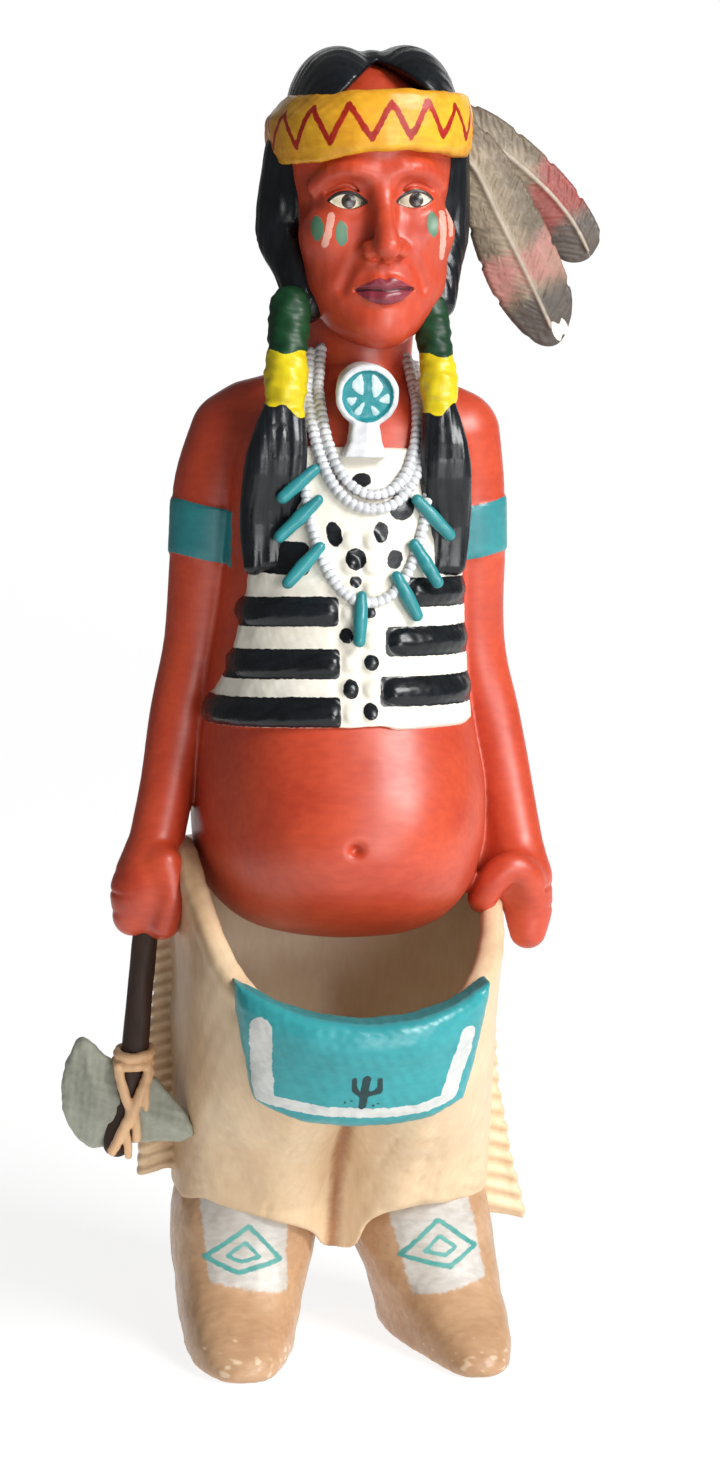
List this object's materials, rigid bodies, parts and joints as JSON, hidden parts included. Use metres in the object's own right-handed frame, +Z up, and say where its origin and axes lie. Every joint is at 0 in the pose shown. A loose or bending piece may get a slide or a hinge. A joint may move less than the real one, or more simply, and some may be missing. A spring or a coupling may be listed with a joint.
{
  "type": "chief figurine",
  "caption": "Standing painted ceramic chief figurine, hollow open trousers forming a small pocket in front, hand axe at the side.",
  "frame": {"origin": "centre of the bounding box's footprint, on the plane of the soles", "axes": "+Z up from the soles to the crown, the figure faces -Y, its right hand with the axe is towards -X"},
  "size_m": [0.1354, 0.1036, 0.3305],
  "materials": {
    "painted_ceramic": "satin"
  },
  "bodies": {
    "root": {"chief_figure": "painted_ceramic"}
  },
  "joints": []
}
